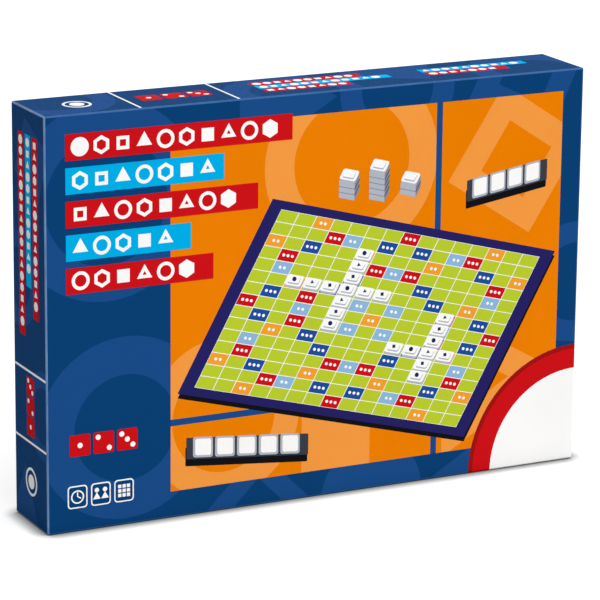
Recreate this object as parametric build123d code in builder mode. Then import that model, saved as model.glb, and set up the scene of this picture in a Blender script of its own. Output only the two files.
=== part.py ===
"""Boxed word board game, standing closed on one long edge.

Millimetres, +Z up. The lid's printed panel faces -Y and +X is to the viewer's right. The origin is the
middle of the box's footprint, on the surface that the box stands on.
"""

import os
from math import copysign

from build123d import *

# Set-up box: outer size as it stands, board, paper and fits
BOX_WIDTH = 370.0
BOX_HEIGHT = 260.0
BOX_DEPTH = 52.0
GREYBOARD = 2.0
WRAP = 0.3
TURN_IN = 16.0
FOLD_GAP = 0.05
STAY_WIDTH = 14.0
STAY_THICKNESS = 0.25
LID_CLEARANCE = 0.6
RIM_STEP = 1.0
RIM_CLEARANCE = 0.8

# Stack of contents behind the lid's panel
STACK_GAP = 0.4
SEAT_GAP = 0.4

# Rules leaflet, one sheet folded once
LEAFLET_WIDTH = 148.0
LEAFLET_TOP_ROOM = 38.4
LEAFLET_SHEET = 0.3
LEAFLET_SLOT = 0.2

# Folding board: two leaves of core, printed face and back cover, and the tape at their fold
BOARD_SIDE_CLEARANCE = 4.0
BOARD_TOP_CLEARANCE = 4.0
BOARD_FOOT_GAP = 0.8
BOARD_CORE = 2.0
BOARD_PAPER = 0.2
BOARD_BORDER = 2.0
PRINT_GAP = 0.05
LEAF_GAP = 0.4
FOLD_SEAM = 1.0
TAPE_RADIUS = 0.3
TAPE_END = 4.0

# Letter tiles: a wide body with a smaller raised face, in rows and columns that fill their well
TILE_BODY = 3.4
TILE_CORNER = 3.0
TILE_STEP = 2.5
TILE_RISE = 1.6
TILE_FACE_CORNER = 2.6
TILE_GAP = 0.4
TILE_COLUMNS = 10
TILE_COUNTS = {
    "letter_tiles_a": 8, "letter_tiles_b": 2, "letter_tiles_c": 4, "letter_tiles_d": 4,
    "letter_tiles_e": 10, "letter_tiles_f": 2, "letter_tiles_g": 2, "letter_tiles_h": 2,
    "letter_tiles_i": 7, "letter_tiles_j": 1, "letter_tiles_k": 1, "letter_tiles_l": 5,
    "letter_tiles_m": 3, "letter_tiles_n": 6, "letter_tiles_o": 8, "letter_tiles_p": 3,
    "letter_tiles_q": 1, "letter_tiles_r": 6, "letter_tiles_s": 6, "letter_tiles_t": 5,
    "letter_tiles_u": 5, "letter_tiles_v": 2, "letter_tiles_w": 1, "letter_tiles_x": 1,
    "letter_tiles_y": 2, "letter_tiles_z": 1, "blank_tiles": 2,
}  # fmt: skip

# Tile racks: a lip, a ledge and a leaning face on a hollow moulding
RACK_COUNT = 4
RACK_DEPTH = 27.0
RACK_HEIGHT = 19.0
RACK_LIP = 3.0
RACK_LIP_HEIGHT = 6.0
RACK_LEDGE = 6.0
RACK_LEDGE_HEIGHT = 3.0
RACK_CREST = 2.5
RACK_BACK_LEAN = 2.5
RACK_WALL = 3.0
RACK_SPACING = 3.0
RACK_FINGER_ROOM = 28.0

# Insert tray, formed from plastic sheet
TRAY_SHEET = 0.8
TRAY_CORNER = 5.0
WELL_CORNER = 2.5
RACK_WELL_CORNER = 1.0
WELL_FLOOR_GAP = 0.2
CONTENT_RECESS = 0.8
ACCESSORY_HEIGHT = 22.0
ACCESSORY_DEPTH = 24.0
LEAST_RIB = 10.4
RACK_WELL_RIB = 14.4

# Where each layer lies: insets from the box's outside, and heights along the depth
LID_CLEAR_INSET = WRAP + GREYBOARD + WRAP
BASE_INSET = LID_CLEAR_INSET + LID_CLEARANCE
BASE_CLEAR_INSET = BASE_INSET + WRAP + GREYBOARD + WRAP
INNER_WIDTH = BOX_WIDTH - 2 * BASE_CLEAR_INSET
INNER_HEIGHT = BOX_HEIGHT - 2 * BASE_CLEAR_INSET
PANEL = WRAP + GREYBOARD
LID_FRONT_Y = -BOX_DEPTH / 2
LID_RIM_Y = BOX_DEPTH / 2 - RIM_STEP
BASE_BACK_Y = BOX_DEPTH / 2
BASE_RIM_Y = LID_FRONT_Y + PANEL + RIM_CLEARANCE

LEAFLET_HEIGHT = INNER_HEIGHT - LEAFLET_TOP_ROOM
LEAFLET_FRONT_Y = LID_FRONT_Y + PANEL + STACK_GAP
LEAFLET_THICKNESS = 2 * LEAFLET_SHEET + LEAFLET_SLOT
LEAF_THICKNESS = BOARD_PAPER + BOARD_CORE + BOARD_PAPER
BOARD_FRONT_Y = LEAFLET_FRONT_Y + LEAFLET_THICKNESS + STACK_GAP
FOLD_Y = BOARD_FRONT_Y + LEAF_THICKNESS + LEAF_GAP / 2
FOLD_Z = BASE_CLEAR_INSET + BOARD_FOOT_GAP + TAPE_RADIUS
LEAF_WIDTH = INNER_WIDTH - 2 * BOARD_SIDE_CLEARANCE
LEAF_BOTTOM_Z = FOLD_Z + FOLD_SEAM / 2
LEAF_HEIGHT = BOX_HEIGHT - BASE_CLEAR_INSET - BOARD_TOP_CLEARANCE - LEAF_BOTTOM_Z
TRAY_FRONT_Y = FOLD_Y + LEAF_GAP / 2 + LEAF_THICKNESS + STACK_GAP
TRAY_BACK_Y = BASE_BACK_Y - PANEL - STACK_GAP
CONTENT_FRONT_Y = TRAY_FRONT_Y + CONTENT_RECESS

# Plan of the tray: the tile well and the accessory well on the left, the rack well on the right
TRAY_WIDTH = INNER_WIDTH - 2 * SEAT_GAP
TRAY_HEIGHT = INNER_HEIGHT - 2 * SEAT_GAP
RACK_PITCH = RACK_DEPTH + RACK_SPACING
RACK_WELL_WIDTH = RACK_COUNT * RACK_PITCH - RACK_SPACING + 2 * SEAT_GAP
RACK_WELL_HEIGHT = TRAY_HEIGHT - 2 * RACK_WELL_RIB
RACK_LENGTH = RACK_WELL_HEIGHT - 2 * SEAT_GAP - RACK_FINGER_ROOM
TILE_TOTAL = sum(TILE_COUNTS.values())
TILE_ROWS = -(-TILE_TOTAL // TILE_COLUMNS)
TILE_EDGES = 2 * SEAT_GAP - TILE_GAP
TILE_PITCH_BY_WIDTH = (TRAY_WIDTH - 3 * LEAST_RIB - RACK_WELL_WIDTH - TILE_EDGES) / TILE_COLUMNS
TILE_PITCH_BY_HEIGHT = (TRAY_HEIGHT - 3 * LEAST_RIB - ACCESSORY_HEIGHT - TILE_EDGES) / TILE_ROWS
TILE_PITCH = min(TILE_PITCH_BY_WIDTH, TILE_PITCH_BY_HEIGHT)
TILE_SIZE = TILE_PITCH - TILE_GAP
TILE_FACE = TILE_SIZE - 2 * TILE_STEP
TILE_WELL_WIDTH = TILE_COLUMNS * TILE_PITCH + TILE_EDGES
TILE_WELL_HEIGHT = TILE_ROWS * TILE_PITCH + TILE_EDGES
TILE_BACK_Y = CONTENT_FRONT_Y + TILE_BODY + TILE_RISE
RACK_BACK_Y = CONTENT_FRONT_Y + RACK_HEIGHT
RIB_X = (TRAY_WIDTH - TILE_WELL_WIDTH - RACK_WELL_WIDTH) / 3
RIB_Z = (TRAY_HEIGHT - TILE_WELL_HEIGHT - ACCESSORY_HEIGHT) / 3
TILE_WELL_X = -TRAY_WIDTH / 2 + RIB_X + TILE_WELL_WIDTH / 2
TILE_WELL_Z = -TRAY_HEIGHT / 2 + RIB_Z + TILE_WELL_HEIGHT / 2
ACCESSORY_Z = TRAY_HEIGHT / 2 - RIB_Z - ACCESSORY_HEIGHT / 2
RACK_WELL_X = TRAY_WIDTH / 2 - RIB_X - RACK_WELL_WIDTH / 2

# The four walls of a box shell, by the way from each wall to the middle of the box
WALLS = {
    "top": Vector(0, 0, -1),
    "bottom": Vector(0, 0, 1),
    "left": Vector(1, 0, 0),
    "right": Vector(-1, 0, 0),
}


def save(builder, node):
    """Label a finished piece and write it as its own node."""
    builder.part.label = node
    export_step(builder.part, f"parts/{node}.step")


def front_plane(y):
    """Upright plane at depth y, facing the front, centred on the box's height."""
    return Plane(origin=(0, y, BOX_HEIGHT / 2), x_dir=(1, 0, 0), z_dir=(0, -1, 0))


def front_slab(width, height, y_front, y_back, mode=Mode.ADD):
    """Rectangular slab between two depths, centred on the box."""
    with BuildSketch(front_plane(y_back)) as outline:
        Rectangle(width, height)
    extrude(outline.sketch, amount=y_back - y_front, mode=mode)


def wall_plane(inward, inset):
    """Plane inset from one outer side of the box, facing inward, with its own Y along the depth."""
    reach = BOX_HEIGHT / 2 if inward.Z else BOX_WIDTH / 2
    origin = Vector(0, 0, BOX_HEIGHT / 2) - inward * (reach - inset)
    return Plane(origin=origin, x_dir=Vector(0, 1, 0).cross(inward), z_dir=inward)


def wall_slab(inward, inset, end_inset, y_ends, thickness):
    """Slab along one wall: end_inset shortens it at both ends, y_ends are its two depths."""
    span = (BOX_WIDTH if inward.Z else BOX_HEIGHT) - 2 * end_inset
    with BuildSketch(wall_plane(inward, inset)) as outline:
        with Locations((0, sum(y_ends) / 2)):
            Rectangle(span, abs(y_ends[1] - y_ends[0]))
    extrude(outline.sketch, amount=thickness)


def long_wall(inward):
    """True for the top and bottom walls, which run past the ends of the two short walls."""
    return inward.Z != 0


def box_shell(name, panel_y, rim_y, inset):
    """One half of the set-up box: greyboard panel and walls, corner stays and printed wrap."""
    forward = copysign(1, rim_y - panel_y)
    board_inset = inset + WRAP
    clear_inset = board_inset + GREYBOARD
    outer_y = panel_y + forward * WRAP
    inner_y = panel_y + forward * PANEL
    board_rim_y = rim_y - forward * WRAP
    board_width = BOX_WIDTH - 2 * board_inset
    board_height = BOX_HEIGHT - 2 * board_inset

    with BuildPart() as panel:
        front_slab(board_width, board_height, *sorted((outer_y, inner_y)))
    save(panel, f"{name}_panel_board")

    wall_front, wall_back = sorted((inner_y, board_rim_y))
    with BuildPart() as stays:
        with BuildSketch(front_plane(wall_back)):
            Rectangle(board_width, board_height)
            Rectangle(board_width - 2 * STAY_THICKNESS, board_height - 2 * STAY_THICKNESS, mode=Mode.SUBTRACT)
            Rectangle(board_width - 2 * STAY_WIDTH, board_height, mode=Mode.SUBTRACT)
            Rectangle(board_width, board_height - 2 * STAY_WIDTH, mode=Mode.SUBTRACT)
        extrude(amount=wall_back - wall_front)
    save(stays, f"{name}_corner_stays")

    for side, inward in WALLS.items():
        with BuildPart() as wall:
            wall_end = board_inset if long_wall(inward) else clear_inset
            wall_slab(inward, board_inset, wall_end, (inner_y, board_rim_y), GREYBOARD)
            add(stays.part, mode=Mode.SUBTRACT)
        save(wall, f"{name}_{side}_wall")

    with BuildPart() as wrap:
        wrap_width = BOX_WIDTH - 2 * inset
        wrap_height = BOX_HEIGHT - 2 * inset
        front_slab(wrap_width, wrap_height, *sorted((panel_y, outer_y)))
        for inward in WALLS.values():
            fold = 0 if long_wall(inward) else FOLD_GAP
            sheet_end = inset if long_wall(inward) else board_inset + fold
            rim_end = board_inset + FOLD_GAP if long_wall(inward) else clear_inset + fold
            tuck_end = clear_inset if long_wall(inward) else clear_inset + WRAP + fold
            sheet_y = (outer_y + forward * FOLD_GAP, rim_y)
            wall_slab(inward, inset, sheet_end, sheet_y, WRAP)
            wall_slab(inward, board_inset + FOLD_GAP, rim_end, (board_rim_y, rim_y), GREYBOARD - 2 * FOLD_GAP)
            wall_slab(inward, clear_inset, tuck_end, (rim_y - forward * TURN_IN, rim_y), WRAP)
    save(wrap, f"{name}_wrap")


def board_leaf(name, outward):
    """One leaf of the folding board: outward is -1 for the front leaf and +1 for the rear leaf."""
    middle_z = LEAF_BOTTOM_Z + LEAF_HEIGHT / 2
    print_y = FOLD_Y + outward * LEAF_GAP / 2
    core_y = print_y + outward * BOARD_PAPER
    core_back_y = core_y + outward * BOARD_CORE
    cover_y = core_back_y + outward * BOARD_PAPER
    core_width = LEAF_WIDTH - 2 * BOARD_PAPER
    core_height = LEAF_HEIGHT - 2 * BOARD_PAPER
    window_width = LEAF_WIDTH - 2 * BOARD_BORDER
    window_height = LEAF_HEIGHT - 2 * BOARD_BORDER

    def leaf_slab(width, height, y_ends, mode=Mode.ADD):
        """Slab of the leaf between two depths."""
        y_front, y_back = sorted(y_ends)
        with BuildSketch(front_plane(y_back)) as outline:
            with Locations((0, middle_z - BOX_HEIGHT / 2)):
                Rectangle(width, height)
        extrude(outline.sketch, amount=y_back - y_front, mode=mode)

    with BuildPart() as core:
        leaf_slab(core_width, core_height, (core_y, core_back_y))
    save(core, f"board_{name}_core")

    with BuildPart() as cover:
        leaf_slab(LEAF_WIDTH, LEAF_HEIGHT, (print_y, cover_y))
        leaf_slab(core_width, core_height, (core_y, core_back_y), Mode.SUBTRACT)
        leaf_slab(window_width, window_height, (print_y, core_y), Mode.SUBTRACT)
    save(cover, f"board_{name}_cover")

    with BuildPart() as face:
        leaf_slab(window_width - 2 * PRINT_GAP, window_height - 2 * PRINT_GAP, (print_y, core_y))
    save(face, f"board_{name}_print")


def hinge_tape():
    """Rounded fold of the tape that joins the two leaves, on the fold's own axis."""
    length = LEAF_WIDTH - 2 * TAPE_END
    with BuildPart() as tape:
        with BuildSketch(Plane(origin=(-length / 2, FOLD_Y, FOLD_Z), x_dir=(0, 1, 0), z_dir=(1, 0, 0))):
            Circle(TAPE_RADIUS)
        extrude(amount=length)
    save(tape, "board_hinge_tape")


def rules_leaflet():
    """Folded sheet standing on the base's lower wall, open on its right."""
    middle_z = BASE_CLEAR_INSET + SEAT_GAP + LEAFLET_HEIGHT / 2 - BOX_HEIGHT / 2
    back_y = LEAFLET_FRONT_Y + LEAFLET_THICKNESS
    with BuildPart() as leaflet:
        with BuildSketch(front_plane(back_y)):
            with Locations((0, middle_z)):
                Rectangle(LEAFLET_WIDTH, LEAFLET_HEIGHT)
        extrude(amount=LEAFLET_THICKNESS)
        with BuildSketch(front_plane(back_y - LEAFLET_SHEET)):
            with Locations((LEAFLET_SHEET, middle_z)):
                Rectangle(LEAFLET_WIDTH, LEAFLET_HEIGHT)
        extrude(amount=LEAFLET_SLOT, mode=Mode.SUBTRACT)
    save(leaflet, "rules_leaflet")


def insert_tray():
    """Sheet tray with a deep skirt, a tile well, an accessory well and a rack well."""
    tile_floor_y = TILE_BACK_Y + WELL_FLOOR_GAP
    rack_floor_y = RACK_BACK_Y + WELL_FLOOR_GAP
    accessory_floor_y = TRAY_FRONT_Y + ACCESSORY_DEPTH
    wells = (
        (TILE_WELL_X, TILE_WELL_Z, TILE_WELL_WIDTH, TILE_WELL_HEIGHT, tile_floor_y, WELL_CORNER),
        (TILE_WELL_X, ACCESSORY_Z, TILE_WELL_WIDTH, ACCESSORY_HEIGHT, accessory_floor_y, WELL_CORNER),
        (RACK_WELL_X, 0, RACK_WELL_WIDTH, RACK_WELL_HEIGHT, rack_floor_y, RACK_WELL_CORNER),
    )
    with BuildPart() as tray:
        with BuildSketch(front_plane(TRAY_BACK_Y)):
            RectangleRounded(TRAY_WIDTH, TRAY_HEIGHT, TRAY_CORNER)
        extrude(amount=TRAY_BACK_Y - TRAY_FRONT_Y)
        with BuildSketch(front_plane(TRAY_BACK_Y)):
            inner_corner = TRAY_CORNER - TRAY_SHEET
            RectangleRounded(TRAY_WIDTH - 2 * TRAY_SHEET, TRAY_HEIGHT - 2 * TRAY_SHEET, inner_corner)
        extrude(amount=TRAY_BACK_Y - TRAY_FRONT_Y - TRAY_SHEET, mode=Mode.SUBTRACT)
        for x, z, width, height, floor_y, corner in wells:
            with BuildSketch(front_plane(floor_y + TRAY_SHEET)):
                with Locations((x, z)):
                    RectangleRounded(width + 2 * TRAY_SHEET, height + 2 * TRAY_SHEET, corner + TRAY_SHEET)
            extrude(amount=floor_y + TRAY_SHEET - TRAY_FRONT_Y)
        for x, z, width, height, floor_y, corner in wells:
            with BuildSketch(front_plane(floor_y)):
                with Locations((x, z)):
                    RectangleRounded(width, height, corner)
            extrude(amount=floor_y - TRAY_FRONT_Y, mode=Mode.SUBTRACT)
    save(tray, "insert_tray")


def letter_tiles():
    """All tiles, in order of their letters from the tile well's top left, one node for each letter."""
    with BuildPart() as tile:
        with BuildSketch(front_plane(TILE_BACK_Y)):
            RectangleRounded(TILE_SIZE, TILE_SIZE, TILE_CORNER)
        extrude(amount=TILE_BODY)
        with BuildSketch(front_plane(TILE_BACK_Y - TILE_BODY)):
            RectangleRounded(TILE_FACE, TILE_FACE, TILE_FACE_CORNER)
        extrude(amount=TILE_RISE)

    first_x = TILE_WELL_X - (TILE_COLUMNS - 1) * TILE_PITCH / 2
    first_z = TILE_WELL_Z + (TILE_ROWS - 1) * TILE_PITCH / 2
    used = 0
    for node, count in TILE_COUNTS.items():
        places = []
        for place in range(used, used + count):
            row, column = divmod(place, TILE_COLUMNS)
            places.append((first_x + column * TILE_PITCH, 0, first_z - row * TILE_PITCH))
        used += count
        with BuildPart() as group:
            with Locations(*places):
                add(tile.part)
        save(group, node)


def tile_racks():
    """Racks standing on end side by side in the rack well, with their backs on its floor."""
    low_z = BOX_HEIGHT / 2 - RACK_WELL_HEIGHT / 2 + SEAT_GAP
    left_x = RACK_WELL_X - RACK_WELL_WIDTH / 2 + SEAT_GAP
    ledge_end = RACK_LIP + RACK_LEDGE
    crest_end = RACK_DEPTH - RACK_BACK_LEAN
    crest_start = crest_end - RACK_CREST
    face_slope = (crest_start - ledge_end) / (RACK_HEIGHT - RACK_LEDGE_HEIGHT)
    back_slope = RACK_BACK_LEAN / RACK_HEIGHT
    hollow_start = ledge_end + RACK_WALL - face_slope * RACK_LEDGE_HEIGHT
    hollow_end = RACK_DEPTH - RACK_WALL
    hollow_height = (hollow_end - hollow_start) / (face_slope + back_slope)
    outline = (
        (0, 0),
        (RACK_DEPTH, 0),
        (crest_end, RACK_HEIGHT),
        (crest_start, RACK_HEIGHT),
        (ledge_end, RACK_LEDGE_HEIGHT),
        (RACK_LIP, RACK_LEDGE_HEIGHT),
        (RACK_LIP, RACK_LIP_HEIGHT),
        (0, RACK_LIP_HEIGHT),
    )
    hollow = (
        (hollow_start, 0),
        (hollow_end, 0),
        (hollow_start + face_slope * hollow_height, hollow_height),
    )

    def profile(points, z):
        """Closed profile across the rack at height z: each point is along its depth and up from its base."""
        with BuildSketch(Plane.XY.offset(z)) as section:
            with BuildLine():
                Polyline(*[(left_x + across, RACK_BACK_Y - up) for across, up in points], close=True)
            make_face()
        return section.sketch

    with BuildPart() as rack:
        extrude(profile(outline, low_z), amount=RACK_LENGTH)
        hollow_length = RACK_LENGTH - 2 * RACK_WALL
        extrude(profile(hollow, low_z + RACK_WALL), amount=hollow_length, mode=Mode.SUBTRACT)

    for number in range(RACK_COUNT):
        with BuildPart() as placed:
            with Locations((number * RACK_PITCH, 0, 0)):
                add(rack.part)
        save(placed, f"tile_rack_{number + 1}")


os.makedirs("parts", exist_ok=True)
box_shell("lid", LID_FRONT_Y, LID_RIM_Y, 0)
box_shell("base", BASE_BACK_Y, BASE_RIM_Y, BASE_INSET)
board_leaf("front", -1)
board_leaf("rear", 1)
hinge_tape()
rules_leaflet()
insert_tray()
letter_tiles()
tile_racks()
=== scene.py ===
"""Boxed word board game: finishes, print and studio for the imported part."""

import logging
import math
from dataclasses import dataclass, field
from enum import Enum, IntEnum
from itertools import product
from typing import Any, ClassVar, Optional, Sequence

import bmesh
import bpy
from mathutils import Matrix, Vector


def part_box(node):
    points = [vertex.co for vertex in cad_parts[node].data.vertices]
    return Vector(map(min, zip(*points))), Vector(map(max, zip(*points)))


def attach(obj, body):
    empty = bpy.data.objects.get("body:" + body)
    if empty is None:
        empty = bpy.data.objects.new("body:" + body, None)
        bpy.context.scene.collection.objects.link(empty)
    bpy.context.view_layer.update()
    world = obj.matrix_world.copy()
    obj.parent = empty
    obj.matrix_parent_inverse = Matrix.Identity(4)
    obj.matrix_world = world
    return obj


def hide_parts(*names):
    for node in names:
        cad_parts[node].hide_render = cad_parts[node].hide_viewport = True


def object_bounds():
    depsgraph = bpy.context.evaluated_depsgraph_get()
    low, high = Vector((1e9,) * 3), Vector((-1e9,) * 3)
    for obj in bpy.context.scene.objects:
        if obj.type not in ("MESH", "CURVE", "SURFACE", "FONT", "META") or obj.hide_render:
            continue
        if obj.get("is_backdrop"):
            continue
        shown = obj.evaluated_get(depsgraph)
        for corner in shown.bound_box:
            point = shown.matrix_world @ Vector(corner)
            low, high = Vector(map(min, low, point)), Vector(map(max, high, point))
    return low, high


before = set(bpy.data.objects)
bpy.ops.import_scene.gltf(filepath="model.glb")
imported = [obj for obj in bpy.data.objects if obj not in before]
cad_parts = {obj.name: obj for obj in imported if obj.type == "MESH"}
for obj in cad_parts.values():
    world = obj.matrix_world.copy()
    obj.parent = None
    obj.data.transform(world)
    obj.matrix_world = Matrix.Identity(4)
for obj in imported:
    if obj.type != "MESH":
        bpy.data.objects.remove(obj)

CAD_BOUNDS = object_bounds()
MM = 0.001
# Thickness of one layer of ink, and how deep an ink is sunk in its paper, in millimetres
INK_LAYER = 0.01
INK_SINK = 0.02
# Room that a folded wrap leaves for its print inside the box's outer size, in millimetres
WRAP_INSET = 0.2
# Radius of a wrap's folds, and the width at a face's edge that they keep free of print, in millimetres
FOLD_RADIUS = 1.0
FOLD_EDGE = WRAP_INSET + FOLD_RADIUS
# Edges that turn by less than this are shaded smooth
CREASE = math.radians(40)
# Least part of a normal along one axis on a face that lies square to it
SQUARE_ON = 0.999
# Steps along a rounded fold, and along a rounded corner of a print or a tile
FOLD_STEPS = 5
CORNER_STEPS = 4
# Easing of the moulded racks, of the drawn tray, and of boards and stays under a fold, in millimetres
MOULDED_EDGE = 0.5
DRAWN_EDGE = 0.7
WRAPPED_EDGE = 0.9
# Number of racks in the box
RACKS = 4
# Finer octaves of the noise in an even tone, in a relief and in patches
TONE_OCTAVES = 2.0
RELIEF_OCTAVES = 3.0
PATCH_OCTAVES = 4.0
# Levels of a noise that become the ends of a range, where a finish names no others
NOISE_CUT = (0.3, 0.7)
# How far a roughness wanders to both sides, and the size of its patches in grains
GLOSS_SPREAD = 0.05
GLOSS_GRAINS = 3
# What the folds of a wrap share: a soft sheen, and paler patches along the crest, partly wear and partly a
# painted highlight
CREST = {"roughness": 0.45, "sheen": 0.12, "patch_mm": 14.0, "cut": NOISE_CUT}

log = logging.getLogger("word_game")
Shape = bmesh.types.BMesh
Socket = bpy.types.NodeSocket
Outputs = bpy.types.bpy_prop_collection
Tree = bpy.types.NodeTree
Pair = Sequence[float]
Window = tuple[float, float, float, float]


def linear(colour: str) -> tuple[float, float, float, float]:
    """Turn an sRGB hex colour into linear RGBA.

    Args:
        colour: Colour as "#RRGGBB".

    Returns:
        The four linear channels.
    """
    channels = []
    for start in (1, 3, 5):
        value = int(colour[start : start + 2], 16) / 255
        channels.append(value / 12.92 if value <= 0.04045 else ((value + 0.055) / 1.055) ** 2.4)
    return (*channels, 1.0)


def add_node(tree: Tree, kind: str, inputs: dict[Any, Any], **settings: Any) -> Outputs:
    """Add a shader node with its settings, values and links.

    Args:
        tree: Node tree to add to.
        kind: Blender's type name of the node.
        inputs: Value, or socket to link from, for each input by name or number.
        **settings: Properties of the node itself.

    Returns:
        The new node's outputs.
    """
    node = tree.nodes.new(kind)
    for name, value in settings.items():
        setattr(node, name, value)
    for key, value in inputs.items():
        if isinstance(value, Socket):
            tree.links.new(value, node.inputs[key])
        else:
            node.inputs[key].default_value = value
    return node.outputs


def empty_tree(owner: Any) -> Tree:
    """Switch the nodes of a material or world on, and clear them.

    Args:
        owner: The new material or world.

    Returns:
        Its empty node tree.
    """
    owner.use_nodes = True
    owner.node_tree.nodes.clear()
    return owner.node_tree


def add_piece(name: str, shape: Shape, materials: list[bpy.types.Material]) -> bpy.types.Object:
    """Turn a finished bmesh into an object of the scene.

    Args:
        name: Name of the object and its mesh.
        shape: Geometry, which is freed.
        materials: Materials in the order of the faces' material numbers.

    Returns:
        The new object, unmoved at the origin.
    """
    mesh = bpy.data.meshes.new(name)
    shape.to_mesh(mesh)
    shape.free()
    for material in materials:
        mesh.materials.append(material)
    piece = bpy.data.objects.new(name, mesh)
    bpy.context.scene.collection.objects.link(piece)
    return piece


def mount(piece: bpy.types.Object, body: str, slot: str, node: str = "") -> None:
    """Let a piece ride on a body, and hide the CAD node that it is shown in place of.

    Args:
        piece: The finished piece.
        body: Body that it moves with.
        slot: Not used.
        node: CAD node that it is shown in place of, if any.
    """
    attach(piece, body)
    if node:
        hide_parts(node)
    log.info("%s: %d faces on %s", piece.name, len(piece.data.polygons), body)


def append_shape(target: Shape, shape: Shape, place: Matrix) -> None:
    """Add a placed copy of a shape to another one.

    Args:
        target: Geometry that receives the copy.
        shape: Geometry to copy, left as it is.
        place: Where the copy goes.
    """
    carrier = bpy.data.meshes.new("carrier")
    shape.to_mesh(carrier)
    carrier.transform(place)
    target.from_mesh(carrier)
    bpy.data.meshes.remove(carrier)


def cut(shape: Shape, point: Pair, way: Pair, clear: bool = False) -> None:
    """Cut a shape along the plane through a point, and clear what lies beyond it where asked."""
    everything = shape.verts[:] + shape.edges[:] + shape.faces[:]
    bmesh.ops.bisect_plane(shape, geom=everything, plane_co=point, plane_no=way, clear_outer=clear)


def thicken(patch: Shape, below: float, above: float) -> None:
    """Turn flat faces into a closed slab.

    Args:
        patch: Faces in the plane of z 0.
        below: How far the slab reaches under that plane.
        above: How far it reaches over that plane.
    """
    lifted = bmesh.ops.extrude_face_region(patch, geom=patch.faces[:])
    crest = [item for item in lifted["geom"] if isinstance(item, bmesh.types.BMVert)]
    bmesh.ops.translate(patch, verts=patch.verts[:], vec=(0, 0, -below))
    bmesh.ops.translate(patch, verts=crest, vec=(0, 0, below + above))
    bmesh.ops.recalc_face_normals(patch, faces=patch.faces[:])


def ease(shape: Shape, geometry: list, radius: float, segments: int, affect: str = "EDGES") -> None:
    """Round edges of a solid, or corners of a flat patch where VERTICES are affected."""
    settings = {"affect": affect, "segments": segments, "profile": 0.5, "material": -1}
    bmesh.ops.bevel(shape, geom=geometry, offset=radius, clamp_overlap=True, **settings)


def is_flat(face: bmesh.types.BMFace) -> bool:
    """Tell whether a face lies square to one of the axes."""
    return max(abs(part) for part in face.normal) > SQUARE_ON


def shade(shape: Shape) -> None:
    """Shade the rounded faces of a shape smooth, and its square ones flat."""
    for face in shape.faces:
        face.smooth = not is_flat(face)


@dataclass(frozen=True)
class Finish:
    """Surface of one real material: its tone, sheen and fine relief."""

    name: str
    colour: str
    roughness: float = 0.5
    sheen: float = 0.3
    mottle: float = 0.03
    mottle_mm: float = 45.0
    # Grains are drawn coarser than the real ones, so that they show
    grain_mm: float = 0.9
    relief_mm: float = 0.004

    def wander(
        self,
        tree: Tree,
        size_mm: float,
        reach: Pair,
        octaves: float = TONE_OCTAVES,
        levels: Pair = NOISE_CUT,
    ) -> Socket:
        """Value that wanders between two ends in patches, in the object's own coordinates.

        Args:
            tree: Node tree to add to.
            size_mm: Real size of one patch.
            reach: Lowest and highest value.
            octaves: Number of finer octaves.
            levels: Levels of the noise that become those values.

        Returns:
            The value's socket.
        """
        place = add_node(tree, "ShaderNodeTexCoord", {})["Object"]
        inputs = {"Vector": place, "Scale": 1 / (size_mm * MM), "Detail": octaves}
        noise = add_node(tree, "ShaderNodeTexNoise", inputs)["Fac"]
        ends = dict(zip(("From Min", "From Max", "To Min", "To Max"), (*levels, *reach)))
        return add_node(tree, "ShaderNodeMapRange", {"Value": noise, **ends})["Result"]

    def tone(self, tree: Tree) -> Socket:
        """Colour of the surface, a little uneven over a hand's breadth.

        Args:
            tree: Node tree to add to.

        Returns:
            The colour socket.
        """
        blotch = self.wander(tree, self.mottle_mm, (1 - self.mottle, 1 + self.mottle))
        inputs = {0: 1.0, 6: linear(self.colour), 7: blotch}
        return add_node(tree, "ShaderNodeMix", inputs, data_type="RGBA", blend_type="MULTIPLY")[2]

    def relief(self, tree: Tree) -> Socket:
        """Height of the fine relief in a node tree."""
        return self.wander(tree, self.grain_mm, (0.0, 1.0), RELIEF_OCTAVES, (0.0, 1.0))

    def material(self) -> bpy.types.Material:
        """Build the material, or return the one that was built before.

        Returns:
            The node material.
        """
        made = bpy.data.materials.get(self.name)
        if made:
            return made
        made = bpy.data.materials.new(self.name)
        tree = empty_tree(made)
        gloss = (self.roughness - GLOSS_SPREAD, self.roughness + GLOSS_SPREAD)
        bump = {"Strength": 1.0, "Distance": self.relief_mm * MM, "Height": self.relief(tree)}
        inputs = {
            "Base Color": self.tone(tree),
            "Roughness": self.wander(tree, self.grain_mm * GLOSS_GRAINS, gloss),
            "Specular IOR Level": self.sheen,
            "Normal": add_node(tree, "ShaderNodeBump", bump)["Normal"],
        }
        shader = add_node(tree, "ShaderNodeBsdfPrincipled", inputs)["BSDF"]
        add_node(tree, "ShaderNodeOutputMaterial", {"Surface": shader})
        return made


@dataclass(frozen=True)
class PatchFinish(Finish):
    """Surface with patches of a second tone, such as fibres in pulp or the rubbed crest of a fold."""

    patch: str = "#6F6A62"
    patch_mm: float = 1.6
    amount: Pair = (0.0, 0.7)
    cut: Pair = (0.58, 0.72)

    def tone(self, tree: Tree) -> Socket:
        """Uneven tone that gives way to the second one in patches.

        Args:
            tree: Node tree to add to.

        Returns:
            The colour socket.
        """
        share = self.wander(tree, self.patch_mm, self.amount, PATCH_OCTAVES, self.cut)
        inputs = {0: share, 6: super().tone(tree), 7: linear(self.patch)}
        return add_node(tree, "ShaderNodeMix", inputs, data_type="RGBA")[2]


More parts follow.
